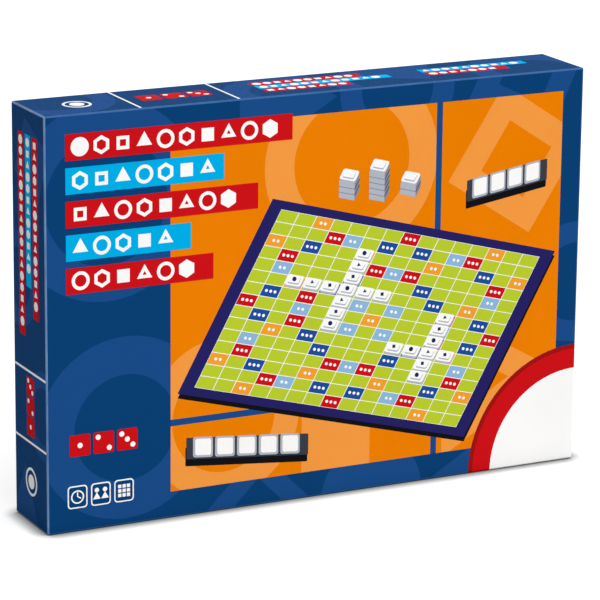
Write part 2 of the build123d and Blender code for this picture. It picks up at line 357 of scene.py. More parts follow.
@dataclass(frozen=True)
class GrainFinish(Finish):
    """Embossed cover paper or cloth: closed cells pressed into the surface."""

    def relief(self, tree: Tree) -> Socket:
        """Height of the pressed cells.

        Args:
            tree: Node tree to add to.

        Returns:
            The height socket.
        """
        place = add_node(tree, "ShaderNodeTexCoord", {})["Object"]
        inputs = {"Vector": place, "Scale": 1 / (self.grain_mm * MM)}
        return add_node(tree, "ShaderNodeTexVoronoi", inputs)["Distance"]


class Ink(Enum):
    """Inks of the printed papers, as they read on the laminated sheet."""

    NAVY = "#0A3F73"
    NAVY_SHAPE = "#1A4B87"
    ORANGE = "#EC7F02"
    PALE_ORANGE = "#F49A42"
    CYAN = "#00AEE8"
    RED = "#CC1219"
    DEEP_RED = "#9E1414"
    WHITE = "#FCFCFB"
    SHADE = "#B4B8C2"
    DUSK = "#858B9C"
    LIME = "#B9CC2F"
    VIOLET = "#262262"
    ROYAL = "#1E4D9B"
    SKY = "#8DB8DC"
    AMBER = "#F2A12E"
    BLACK = "#121318"
    SLATE = "#3A3E48"

    def material(self) -> bpy.types.Material:
        """Matt-laminated art paper in this ink: an even colour with a very soft sheen."""
        name = f"laminated_print_{self.name.lower()}"
        return Finish(name, self.value, roughness=0.5, sheen=0.005, mottle=0.02).material()


class Layer(IntEnum):
    """Order of printing on a face; a later ink covers an earlier one."""

    GROUND = 1
    FIELD = 2
    PALE = 3
    DIVIDER = 4
    SHEET_EDGE = 5
    SHEET = 6
    GRID = 7
    SQUARE = 8
    LINE = 9
    TILE_SIDE = 10
    TILE = 11
    FACE_SIDE = 12
    FACE = 13
    MARK = 14
    STRIP = 15
    SIGN = 16
    INSET = 17
    SYMBOL = 18


class Board(Enum):
    """Finishes that aren't printed paper."""

    # Navy fold of a wrap, paler than the flat sides and paler still along its crest: partly wear, partly a
    # painted highlight where the fold catches the light
    FOLD = PatchFinish("wrap_fold", "#1B4A84", patch="#3D6FA6", amount=(0.3, 0.7), **CREST)
    # Left folds of a wrap, paler still: rubbed wear, and a painted highlight where the left edges catch the
    # light
    RUBBED = PatchFinish("rubbed_highlit_fold", "#3C679F", patch="#86A3CB", amount=(0.3, 0.85), **CREST)
    # Grey pulp board with dark flecks, matt and a little rough
    GREYBOARD = PatchFinish(
        "grey_pulp_board", "#A6A199", roughness=0.92, sheen=0.1,
        mottle=0.06, mottle_mm=25.0, grain_mm=0.7, relief_mm=0.03,
    )
    # Gummed brown paper at the corners, dull and fibrous
    STAY = PatchFinish(
        "gummed_stay_paper", "#B08A58", roughness=0.85, sheen=0.15,
        mottle=0.05, mottle_mm=12.0, grain_mm=0.6, relief_mm=0.02, patch="#8A6A40", patch_mm=2.2,
    )
    # Black cover paper pressed with a fine leather grain, which breaks up its soft sheen
    COVER = GrainFinish(
        "leather_grain_cover_paper", "#17181C", roughness=0.55, sheen=0.3,
        mottle=0.05, mottle_mm=30.0, grain_mm=1.1, relief_mm=0.05,
    )
    # Black book cloth at the fold of the board, dull and dimpled by its threads
    CLOTH = GrainFinish(
        "book_cloth", "#1B1C22", roughness=0.8, sheen=0.15,
        mottle=0.05, mottle_mm=10.0, grain_mm=0.6, relief_mm=0.05,
    )
    # Uncoated white text paper, dull, with faint fibres
    TEXT_PAPER = PatchFinish(
        "text_paper", "#EFEDE6", roughness=0.8, sheen=0.15,
        mottle=0.02, mottle_mm=60.0, grain_mm=0.5, relief_mm=0.01, patch="#DAD6CC", patch_mm=1.2,
    )
    # Thermoformed sheet, dull satin, with faint draw marks
    TRAY = Finish(
        "thermoformed_sheet", "#1C2E57", roughness=0.5, sheen=0.18,
        mottle=0.05, mottle_mm=70.0, grain_mm=2.5, relief_mm=0.015,
    )
    # White plastic of the tiles from a polished mould, with clear soft highlights
    TILE = Finish(
        "moulded_white_plastic", "#F1F1EC", roughness=0.28, sheen=0.45,
        mottle=0.015, mottle_mm=20.0, grain_mm=1.2, relief_mm=0.004,
    )
    # Dark blue ink of the pad-printed letters, even and a little duller than the tile
    LETTER = Finish(
        "pad_printed_blue", "#1C2F6E", roughness=0.45, sheen=0.3,
        mottle=0.02, mottle_mm=8.0, grain_mm=0.5, relief_mm=0.002,
    )
    # Black moulded plastic with a fine spark-eroded texture, which spreads its highlights
    RACK = Finish(
        "textured_black_plastic", "#1A1B20", roughness=0.45, sheen=0.45,
        mottle=0.05, mottle_mm=40.0, grain_mm=0.6, relief_mm=0.012,
    )

    def material(self) -> bpy.types.Material:
        """Material of this finish."""
        return self.value.material()


class Form(IntEnum):
    """Plain shapes of the print, by their number of sides."""

    TRIANGLE = 3
    SQUARE = 4
    HEXAGON = 6
    DOT = 16
    DISC = 48
    WIDE_DISC = 96


@dataclass(frozen=True)
class Motif:
    """Plain shape at a place of a face, in millimetres: full, or a ring where it has a band."""

    u: float
    v: float
    radius: float
    form: Form = Form.DISC
    turn: float = 0.0
    band: float = 0.0


class Side(Enum):
    """Sides of a box, each with the ways along and up its print, seen from outside."""

    FRONT = ((1, 0, 0), (0, 0, 1))
    BACK = ((-1, 0, 0), (0, 0, 1))
    LEFT = ((0, -1, 0), (0, 0, 1))
    RIGHT = ((0, 1, 0), (0, 0, 1))
    TOP = ((1, 0, 0), (0, 1, 0))
    UNDERSIDE = ((1, 0, 0), (0, -1, 0))


@dataclass
class PrintedFace:
    """Flat side of a node that carries print, drawn in millimetres from its own lower left corner."""

    name: str
    node: str
    side: Side
    inset: float = WRAP_INSET
    margin: float = FOLD_EDGE
    shape: Shape = field(default_factory=bmesh.new)
    inks: list[Ink] = field(default_factory=list)

    def __post_init__(self) -> None:
        """Measure the node's side, and find the way from its millimetres to the scene."""
        low, high = (Vector(corner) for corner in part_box(self.node))
        along, up = (Vector(way) for way in self.side.value)
        outward = along.cross(up)
        start = along + up - outward
        corner = Vector([low[axis] if start[axis] > 0 else high[axis] for axis in range(3)])
        columns = (along * MM, up * MM, outward * MM, corner - outward * self.inset * MM)
        self.place = Matrix([(*column, 0.0) for column in columns]).transposed()
        self.place[3][3] = 1.0
        self.width = abs((high - low).dot(along)) / MM
        self.height = abs((high - low).dot(up)) / MM

    def lay(self, patch: Shape, ink: Ink, layer: Layer, window: Optional[Window] = None) -> None:
        """Print one flat patch: cut it to its window and give it the ink's thickness.

        Args:
            patch: Flat faces in the face's millimetres, which are freed.
            ink: Ink of the patch.
            layer: Order of printing; a higher layer covers a lower one.
            window: Left, bottom, right and top to cut it to, or None for the face inside its margin.
        """
        edge = self.margin
        left, bottom, right, top = window or (edge, edge, self.width - edge, self.height - edge)
        cuts = (((left, 0), (-1, 0)), ((right, 0), (1, 0)), ((0, bottom), (0, -1)), ((0, top), (0, 1)))
        for point, outward in cuts:
            cut(patch, (*point, 0), (*outward, 0), clear=True)
        thicken(patch, INK_SINK, layer * INK_LAYER)
        if ink not in self.inks:
            self.inks.append(ink)
        for face in patch.faces:
            face.material_index = self.inks.index(ink)
        append_shape(self.shape, patch, self.place)
        patch.free()

    @staticmethod
    def grid(origin: Pair, across: Pair, rise: Pair, columns: int = 1, rows: int = 1) -> Shape:
        """Flat parallelogram of equal cells.

        Args:
            origin: Its first corner.
            across: Its first side as a vector.
            rise: Its second side as a vector.
            columns: Cells along the first side.
            rows: Cells along the second side.

        Returns:
            The cells in the face's millimetres.
        """
        patch = bmesh.new()
        bmesh.ops.create_grid(patch, x_segments=columns, y_segments=rows, size=0.5)
        skew = Matrix(((across[0], rise[0], 0, 0), (across[1], rise[1], 0, 0), (0, 0, 1, 0), (0, 0, 0, 1)))
        middle = Vector(origin) + (Vector(across) + Vector(rise)) / 2
        patch.transform(Matrix.Translation((*middle, 0)) @ skew)
        return patch

    def slab(
        self, origin: Pair, across: Pair, rise: Pair, ink: Ink, layer: Layer, radius: float = 0.0
    ) -> None:
        """Print a parallelogram.

        Args:
            origin: Its first corner.
            across: Its first side as a vector.
            rise: Its second side as a vector.
            ink: Ink to print with.
            layer: Order of printing.
            radius: Rounding of its corners.
        """
        patch = self.grid(origin, across, rise)
        if radius:
            ease(patch, patch.verts[:], radius, CORNER_STEPS, "VERTICES")
        self.lay(patch, ink, layer)

    def bar(self, box: Window, ink: Ink, layer: Layer, radius: float = 0.0) -> None:
        """Print an upright rectangle, given by its left, bottom, right and top."""
        left, bottom, right, top = box
        self.slab((left, bottom), (right - left, 0), (0, top - bottom), ink, layer, radius)

    def motif(self, ink: Ink, layer: Layer, *motifs: Motif, window: Optional[Window] = None) -> None:
        """Print plain shapes that don't overlap each other.

        Args:
            ink: Ink to print with.
            layer: Order of printing.
            *motifs: The shapes and their places.
            window: Left, bottom, right and top that they are cut to.
        """
        for motif in motifs:
            patch = bmesh.new()
            turn = Matrix.Rotation(math.radians(motif.turn), 4, "Z")
            place = Matrix.Translation((motif.u, motif.v, 0)) @ turn
            outline = {"segments": int(motif.form), "radius": motif.radius, "matrix": place}
            bmesh.ops.create_circle(patch, cap_ends=True, **outline)
            if motif.band:
                middle = patch.faces[:]
                rim = {"thickness": motif.band, "use_boundary": True, "use_even_offset": True}
                bmesh.ops.inset_region(patch, faces=middle, **rim)
                bmesh.ops.delete(patch, geom=middle, context="FACES")
            self.lay(patch, ink, layer, window)

    def stroke(self, start: Pair, end: Pair, width: float, ink: Ink, layer: Layer) -> None:
        """Print a straight line.

        Args:
            start: Where its middle starts.
            end: Where its middle ends.
            width: Its width.
            ink: Ink to print with.
            layer: Order of printing.
        """
        run = Vector(end) - Vector(start)
        side = Vector((-run.y, run.x)).normalized() * width
        self.slab(Vector(start) - side / 2, run, side, ink, layer)

    def finish(self, body: str, slot: str, node: str = "") -> None:
        """Make the print a piece that rides on a body, in place of a CAD node where one is given."""
        mount(add_piece(self.name, self.shape, [ink.material() for ink in self.inks]), body, slot, node)


@dataclass
class PaperWrap:
    """Printed paper around one half of the box, turned in over the rim."""

    node: str
    body: str
    slot: str
    panel_side: int
    # Printed corner at the lower right of the front: reach and ink of each band, the widest first
    bands: Sequence[tuple[float, Ink]] = ()
    board: float = 2.5
    turn_in: float = 16.0
    paper: float = 0.09
    # Width at the left whose folds are paler, with rubbed wear and a painted highlight
    rubbed: float = 1.5 * FOLD_RADIUS

    def __post_init__(self) -> None:
        """Measure the room that the folded sheet fills."""
        inset = Vector((1, 1, 1)) * WRAP_INSET * MM
        low, high = (Vector(corner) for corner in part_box(self.node))
        self.low, self.high = low + inset, high - inset

    def build(self) -> None:
        """Fold the wrap: five sides with rounded folds, the rim and the turn-in."""
        size, middle = self.high - self.low, (self.low + self.high) / 2
        shape = bmesh.new()
        to_middle = Matrix.Translation(middle)
        bmesh.ops.create_cube(shape, size=1, matrix=to_middle @ Matrix.Diagonal((*size, 1)))
        mouth = min(shape.faces, key=lambda face: face.normal.y * self.panel_side)
        bmesh.ops.delete(shape, geom=[mouth], context="FACES_ONLY")
        folds = [edge for edge in shape.edges if not edge.is_boundary]
        ease(shape, folds, FOLD_RADIUS * MM, FOLD_STEPS)
        self.cut_bands(shape)
        shrink = (1 - 2 * self.board * MM / size.x, 1, 1 - 2 * self.board * MM / size.z, 1)
        inward = to_middle @ Matrix.Diagonal(shrink) @ Matrix.Translation(-middle)
        bmesh.ops.transform(shape, matrix=inward, verts=self.extend(shape))
        tuck = (0, self.panel_side * self.turn_in * MM, 0)
        bmesh.ops.translate(shape, verts=self.extend(shape), vec=tuck)
        bmesh.ops.recalc_face_normals(shape, faces=shape.faces[:])
        shade(shape)
        papers = [Ink.NAVY, Board.FOLD, Board.RUBBED, *(ink for _, ink in self.bands)]
        for face in shape.faces:
            face.material_index = papers.index(self.paper_of(face))
        piece = add_piece(f"{self.node}_folded", shape, [paper.material() for paper in papers])
        sheet = piece.modifiers.new("paper", "SOLIDIFY")
        sheet.thickness = self.paper * MM
        sheet.offset = -1
        mount(piece, self.body, self.slot, self.node)

    @staticmethod
    def extend(shape: Shape) -> list[bmesh.types.BMVert]:
        """Extrude the open rim and return its new vertices.

        Args:
            shape: The folded sheet.

        Returns:
            The new rim's vertices.
        """
        rim = [edge for edge in shape.edges if edge.is_boundary]
        grown = bmesh.ops.extrude_edge_only(shape, edges=rim)
        return [item for item in grown["geom"] if isinstance(item, bmesh.types.BMVert)]

    def cut_bands(self, shape: Shape) -> None:
        """Cut the sheet where the bands of the printed corner cross its folds.

        Args:
            shape: The folded sheet.
        """
        for reach, _ in self.bands:
            step = Vector((-1, 0, 1)) * (reach - WRAP_INSET) * MM
            point = Vector((self.high.x, 0, self.low.z)) + step
            for way in ((1, 0, 0), (0, 0, 1)):
                cut(shape, point, way)

    def paper_of(self, face: bmesh.types.BMFace) -> Enum:
        """Ink or finish of a face of the folded sheet.

        Args:
            face: The face.

        Returns:
            The navy ink for a flat side, and for a fold a band's ink, the plain fold, or the left fold that
            is paler with wear and a painted highlight.
        """
        if is_flat(face):
            return Ink.NAVY
        centre = face.calc_center_median()
        from_corner = max(self.high.x - centre.x, centre.z - self.low.z) / MM
        crossed = [ink for reach, ink in self.bands if from_corner < reach - WRAP_INSET]
        if crossed and centre.y < self.low.y + FOLD_RADIUS * MM:
            return crossed[-1]
        # The left folds are paler: rubbed wear and a painted highlight
        return Board.RUBBED if centre.x < self.low.x + self.rubbed * MM else Board.FOLD


@dataclass
class Ribbon:
    """Coloured ribbon with a row of plain white shapes, from its upper left corner."""

    u: float
    v: float
    length: float
    height: float
    ink: Ink
    start: int = 0
    upright: bool = False
    # Height from which shapes are drawn open, and the measures of a row in parts of the height
    least_open: float = 10.0
    pitch: float = 0.86
    lead: float = 0.58
    tail: float = 0.3
    radius: float = 0.36
    band: float = 0.13
    # Every third shape is full on a ribbon with open ones
    full_step: int = 3

    @staticmethod
    def group(face: PrintedFace, places: Sequence[Pair], height: float, upright: bool = False) -> None:
        """Print ribbons, red and cyan by turns, from their upper left corners and lengths."""
        for number, (u, v, length) in enumerate(places):
            Ribbon(u, v, length, height, (Ink.RED, Ink.CYAN)[number % 2], number, upright).lay(face)

    def lay(self, face: PrintedFace) -> None:
        """Print the ribbon across the face, or down it where it is upright.

        Args:
            face: Face to print on.
        """
        ways = (Vector((1, 0)), Vector((0, -1)))
        along, side = reversed(ways) if self.upright else ways
        corner, unit = Vector((self.u, self.v)), self.height
        face.slab(corner, along * self.length, side * unit, self.ink, Layer.STRIP)
        forms = ((Form.DISC, 0), (Form.HEXAGON, 0), (Form.SQUARE, 45), (Form.TRIANGLE, 0))
        for place in range(int((self.length / unit - self.tail) / self.pitch)):
            spot = corner + (along * (self.lead + place * self.pitch) + side / 2) * unit
            form, turn = forms[(place + self.start) % len(forms)]
            is_open = unit > self.least_open and (place + self.start) % self.full_step
            band = self.band * unit if is_open else 0.0
            face.motif(Ink.WHITE, Layer.SIGN, Motif(*spot, self.radius * unit, form, turn, band))


@dataclass
class GridPrint:
    """Playing grid in a sheared frame: lime squares, bonus squares with pips, and white lines."""

    face: PrintedFace
    origin: Vector
    across: Vector
    rise: Vector
    rows: int
    middle_row: int
    pip: float
    line: float
    columns: int = 15
    pip_gap: float = 0.24
    # Pattern of the bonus squares: weight of the shorter way from the middle, and length of a round
    weight: int = 3
    cycle: int = 11
    # Ink and number of pips by the step of a round
    bonus: ClassVar[dict[int, tuple[Ink, int]]] = {
        0: (Ink.AMBER, 2),
        4: (Ink.SKY, 2),
        7: (Ink.RED, 3),
        9: (Ink.ROYAL, 3),
    }

    def point(self, column: float, row: float) -> Vector:
        """Point of the grid in the face's millimetres."""
        return self.origin + self.across * column + self.rise * row

    def build(self) -> None:
        """Print the ground, the bonus squares and the lines, which are one joined shape."""
        wide, high = self.across * self.columns, self.rise * self.rows
        self.face.slab(self.origin, wide, high, Ink.LIME, Layer.GRID)
        for column, row in product(range(self.columns), range(self.rows)):
            self.square(column, row)
        lines = self.face.grid(self.origin, wide, high, self.columns, self.rows)
        cells = lines.faces[:]
        bmesh.ops.inset_individual(lines, faces=cells, thickness=self.line / 2, use_even_offset=True)
        bmesh.ops.delete(lines, geom=cells, context="FACES")
        self.face.lay(lines, Ink.WHITE, Layer.LINE)

    def square(self, column: int, row: int) -> None:
        """Print one square where the pattern has a bonus square.

        Args:
            column: Its column.
            row: Its row.
        """
        near, far = sorted((abs(column - self.columns // 2), abs(row - self.middle_row)))
        step = (far + self.weight * near) % self.cycle
        if step not in self.bonus:
            return
        ink, pips = self.bonus[step]
        self.face.slab(self.point(column, row), self.across, self.rise, ink, Layer.SQUARE)
        for number in range(pips):
            spot = self.point(column + 0.5 + self.pip_gap * (number - (pips - 1) / 2), row + 0.5)
            self.face.motif(Ink.WHITE, Layer.LINE, Motif(*spot, self.pip, Form.DOT))


@dataclass(frozen=True)
class RackPicture:
    """Rack with blank tiles standing on it, as the picture shows it."""

    corner: Pair
    run: Pair
    tiles: int
    height: float = 12.0
    rounding: float = 0.8
    # Where the back starts from the front, and its height in heights of the rack
    back: Pair = (0.6, 4.4)
    back_share: float = 1.15
    # Room at both ends in steps of a tile, and how far the tiles stand over the back's foot
    end_room: float = 0.3
    tile_foot: float = 1.0
    # Tiles and their raised faces: size and start in steps of a tile and heights of the rack
    tile_size: Pair = (0.9, 1.1)
    tile_rounding: float = 1.6
    face_start: Pair = (0.1, 0.12)
    face_size: Pair = (0.72, 0.88)
    face_rounding: float = 1.4

    def lay(self, face: PrintedFace) -> None:
        """Print the rack, then its tiles.

        Args:
            face: Face to print on.
        """
        run, up = Vector(self.run), Vector((0, self.height))
        back = Vector(self.corner) + Vector(self.back)
        face.slab(self.corner, run, up, Ink.BLACK, Layer.TILE_SIDE, self.rounding)
        face.slab(back, run, self.back_share * up, Ink.SLATE, Layer.TILE, self.rounding)
        pitch = run / (self.tiles + 2 * self.end_room)
        for number in range(self.tiles):
            start = back + pitch * (number + self.end_room) + Vector((0, self.tile_foot))
            wide, tall = self.tile_size
            face.slab(start, wide * pitch, tall * up, Ink.SHADE, Layer.FACE_SIDE, self.tile_rounding)
            start += self.face_start[0] * pitch + self.face_start[1] * up
            wide, tall = self.face_size
            face.slab(start, wide * pitch, tall * up, Ink.WHITE, Layer.FACE, self.face_rounding)


@dataclass
class GamePicture:
    """Picture on the lid: the opened board with tiles on it, stacks of tiles and racks."""

    face: PrintedFace
    origin: Pair = (98.0, 82.0)
    across: Vector = field(default_factory=lambda: Vector((12.3, -3.3)))
    rise: Vector = field(default_factory=lambda: Vector((3.9, 7.1)))
    cells: int = 15
    margin: float = 0.7
    board_edge: float = 3.0
    pip: float = 1.0
    line: float = 0.45
    # Rows of laid tiles: first column and row, step in columns and rows, number of tiles
    rows: tuple[tuple[int, ...], ...] = (
        (2, 9, 1, 0, 6),
        (5, 12, 0, -1, 7),
        (9, 5, 1, 0, 4),
        (11, 8, 0, -1, 6),
    )
    stacks: tuple[tuple[Pair, int], ...] = (((196.0, 192.0), 3), ((217.0, 189.0), 5), ((239.0, 190.0), 2))
    racks: tuple[RackPicture, ...] = (
        RackPicture((286.0, 176.0), (58.0, 9.0), 4),
        RackPicture((92.0, 32.0), (84.0, -8.0), 5),
    )
    tile_share: float = 0.88
    tile_lift: float = 1.3
    tile_mark: float = 1.5
    tile_rounding: float = 1.2
    # Raised face of a tile: size in parts of the tile, and lift in parts of its lift
    face_share: float = 0.7
    face_lift: float = 0.7
    face_rounding: float = 1.0
    stack_step: float = 3.6
    stack_line: float = 0.5

    def build(self) -> None:
        """Print the board first, then what lies on it and beside it."""
        middle = self.cells // 2
        grid = GridPrint(
            self.face, Vector(self.origin), self.across, self.rise, self.cells, middle, self.pip, self.line
        )
        sheet = grid.point(-self.margin, -self.margin)
        wide, high = (way * (self.cells + 2 * self.margin) for way in (self.across, self.rise))
        self.face.slab(sheet - Vector((0, self.board_edge)), wide, high, Ink.BLACK, Layer.SHEET_EDGE)
        self.face.slab(sheet, wide, high, Ink.VIOLET, Layer.SHEET)
        grid.build()
        self.laid_tiles(grid)
        for place, count in self.stacks:
            self.stack(Vector(place), count)
        for rack in self.racks:
            rack.lay(self.face)

    def laid_tiles(self, grid: GridPrint) -> None:
        """Print the tiles that lie crossing each other on the board.

        Args:
            grid: The printed grid.
        """
        spots = set()
        for column, row, step, climb, count in self.rows:
            spots.update((column + step * number, row + climb * number) for number in range(count))
        gap = (1 - self.tile_share) / 2
        lift = Vector((0, (1 + self.face_lift) * self.tile_lift))
        forms = ((Form.TRIANGLE, 0), (Form.SQUARE, 45), (Form.DOT, 0))
        for column, row in sorted(spots):
            self.tile(grid.point(column + gap, row + gap))
            spot = grid.point(column + 0.5, row + 0.5) + lift
            form, turn = forms[(column + 2 * row) % len(forms)]
            self.face.motif(Ink.VIOLET, Layer.MARK, Motif(*spot, self.tile_mark, form, turn))

    def tile(self, corner: Vector) -> None:
        """Print one blank stepped tile.

        Args:
            corner: Its lower left corner.
        """
        lift = Vector((0, self.tile_lift))
        across, rise = self.across * self.tile_share, self.rise * self.tile_share
        self.face.slab(corner, across, rise, Ink.SHADE, Layer.TILE_SIDE, self.tile_rounding)
        self.face.slab(corner + lift, across, rise, Ink.WHITE, Layer.TILE, self.tile_rounding)
        inner = corner + lift + (1 - self.face_share) / 2 * (across + rise)
        across, rise = self.face_share * across, self.face_share * rise
        self.face.slab(inner, across, rise, Ink.SHADE, Layer.FACE_SIDE, self.face_rounding)
        inner += self.face_lift * lift
        self.face.slab(inner, across, rise, Ink.WHITE, Layer.FACE, self.face_rounding)

    def stack(self, corner: Vector, count: int) -> None:
        """Print one stack of blank tiles.

        Args:
            corner: Its lower left corner.
            count: Number of tiles.
        """
        across, rise = self.across * self.tile_share, self.rise * self.tile_share
        step = Vector((0, self.stack_step))
        self.face.slab(corner, across, step * count, Ink.SHADE, Layer.TILE_SIDE)
        self.face.slab(corner + across, rise, step * count, Ink.DUSK, Layer.TILE_SIDE)
        for number in range(1, count):
            level = corner + step * number
            turn = level + across
            self.face.stroke(level, turn, self.stack_line, Ink.DUSK, Layer.TILE)
            self.face.stroke(turn, turn + rise, self.stack_line, Ink.SLATE, Layer.TILE)
        self.tile(corner + step * count)


@dataclass(frozen=True)
class FieldPrint:
    """Tone-on-tone shapes on a large navy side, and an orange field with paler shapes."""

    ground: tuple[Motif, ...]
    box: Window
    shapes: tuple[Motif, ...]

    def lay(self, face: PrintedFace) -> None:
        """Print the ground, then the field.

        Args:
            face: Face to print on.
        """
        face.motif(Ink.NAVY_SHAPE, Layer.GROUND, *self.ground)
        face.bar(self.box, Ink.ORANGE, Layer.FIELD)
        face.motif(Ink.PALE_ORANGE, Layer.PALE, *self.shapes, window=self.box)


@dataclass(frozen=True)
class DottedSquares:
    """Row of red squares with one, two and three white pips, from its lower left corner."""

    u: float
    v: float
    side: float
    pitch: float
    upright: bool = False
    # Measures in parts of a side, and the steps of the pips along the diagonal
    rounding: float = 0.09
    reach: float = 0.27
    pip: float = 0.125
    steps: tuple[tuple[int, ...], ...] = ((0,), (-1, 1), (-1, 0, 1))

    def lay(self, face: PrintedFace) -> None:
        """Print the row across the face, or up it where it is upright.

        Args:
            face: Face to print on.
        """
        side, half = self.side, self.side / 2
        way = Vector((0, self.pitch) if self.upright else (self.pitch, 0))
        for number, steps in enumerate(self.steps):
            u, v = Vector((self.u, self.v)) + way * number
            face.bar((u, v, u + side, v + side), Ink.RED, Layer.STRIP, self.rounding * side)
            for step in steps:
                reach = self.reach * side * step
                dot = Motif(u + half + reach, v + half - reach, self.pip * side, Form.DOT)
                face.motif(Ink.WHITE, Layer.SIGN, dot)


@dataclass(frozen=True)
class SignRow:
    """Three plain signs in outlined boxes: a clock, two pawns and a grid."""

    middles: tuple[float, ...] = (19.9, 35.3, 50.7)
    low: float = 15.0
    size: Pair = (13.0, 14.4)
    line: float = 0.8
    outer_rounding: float = 2.2
    inner_rounding: float = 1.6
    dial: float = 4.3
    dial_band: float = 0.9
    long_hand: float = 3.0
    short_hand: Pair = (2.3, -1.0)
    # Half the way between the pawns, and level and radius of their heads and skirts
    pawn_half: float = 2.7
    head: Pair = (2.7, 1.5)
    skirt: Pair = (-1.6, 2.9)
    cell_half: float = 1.1
    cell_pitch: float = 2.9

    def lay(self, face: PrintedFace) -> None:
        """Print the boxes, then what they hold.

        Args:
            face: Face to print on.
        """
        wide, tall = self.size
        line, low = self.line, self.low
        for u in self.middles:
            left, right, top = u - wide / 2, u + wide / 2, low + tall
            face.bar((left, low, right, top), Ink.WHITE, Layer.SIGN, self.outer_rounding)
            inside = (left + line, low + line, right - line, top - line)
            face.bar(inside, Ink.NAVY, Layer.INSET, self.inner_rounding)
        clock, pawns, grid = (Vector((u, low + tall / 2)) for u in self.middles)
        face.motif(Ink.WHITE, Layer.SYMBOL, Motif(*clock, self.dial, band=self.dial_band))
        face.stroke(clock, clock + Vector((0, self.long_hand)), line, Ink.WHITE, Layer.SYMBOL)
        start = clock + Vector((line / 2, 0))
        face.stroke(start, clock + Vector(self.short_hand), line, Ink.WHITE, Layer.SYMBOL)
        for side in (-self.pawn_half, self.pawn_half):
            for (level, radius), form in ((self.head, Form.DOT), (self.skirt, Form.TRIANGLE)):
                spot = pawns + Vector((side, level))
                face.motif(Ink.WHITE, Layer.SYMBOL, Motif(*spot, radius, form))
        for step in product((-1, 0, 1), repeat=2):
            u, v = grid + self.cell_pitch * Vector(step)
            half = self.cell_half
            face.bar((u - half, v - half, u + half, v + half), Ink.WHITE, Layer.SYMBOL)


@dataclass(frozen=True)
class NarrowPrint:
    """Print of a narrow side of the lid, with places along it from its left or lower end."""

    ground: tuple[Motif, ...]
    rules: Pair
    ribbons: tuple[tuple[float, float, float], ...]
    ringed_dot: float
    squares: float
    square: float
    square_pitch: float
    upright: bool = False
    ribbon: float = 8.2
    rule: float = 1.4
    ring: float = 9.0
    ring_band: float = 1.6
    dot: float = 4.6

    def spot(self, along: float, across: float) -> Pair:
        """Place on the face from a way along the side and a way across it."""
        return (across, along) if self.upright else (along, across)

    def lay(self, face: PrintedFace) -> None:
        """Print the shapes of the ground, the rules, the ribbons, the squares and the ringed dot.

        Args:
            face: The narrow face.
        """
        depth = face.width if self.upright else face.height
        face.motif(Ink.NAVY_SHAPE, Layer.GROUND, *self.ground)
        for place in self.rules:
            start = self.spot(place - self.rule / 2, 0.0)
            end = self.spot(place + self.rule / 2, depth)
            face.bar((*start, *end), Ink.WHITE, Layer.STRIP)
        Ribbon.group(face, self.ribbons, self.ribbon, self.upright)
        corner = self.spot(self.squares, (depth - self.square) / 2)
        DottedSquares(*corner, self.square, self.square_pitch, self.upright).lay(face)
        middle = self.spot(self.ringed_dot, depth / 2)
        ringed = (Motif(*middle, self.ring, band=self.ring_band), Motif(*middle, self.dot))
        face.motif(Ink.WHITE, Layer.STRIP, *ringed)


